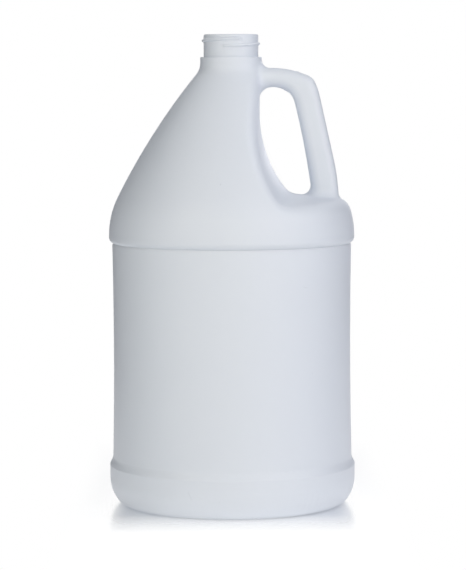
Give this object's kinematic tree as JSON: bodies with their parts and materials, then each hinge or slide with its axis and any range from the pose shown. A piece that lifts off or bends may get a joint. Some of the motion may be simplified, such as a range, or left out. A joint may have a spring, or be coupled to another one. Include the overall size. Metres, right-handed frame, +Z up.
{
  "type": "jug",
  "caption": "Round blown plastic jug with a hollow side handle moulded into a scooped shoulder and an open threaded neck, for holding and pouring liquids.",
  "frame": {"origin": "centre of the foot ring on the ground, on the neck's axis", "axes": "+Z up along the neck's axis, +X toward the handle, -Y toward the viewer of the picture"},
  "size_m": [0.1584, 0.1584, 0.3016],
  "materials": {
    "jug_plastic": "satin, slightly translucent white polyethylene"
  },
  "bodies": {
    "root": {"jug": "jug_plastic"}
  },
  "joints": []
}
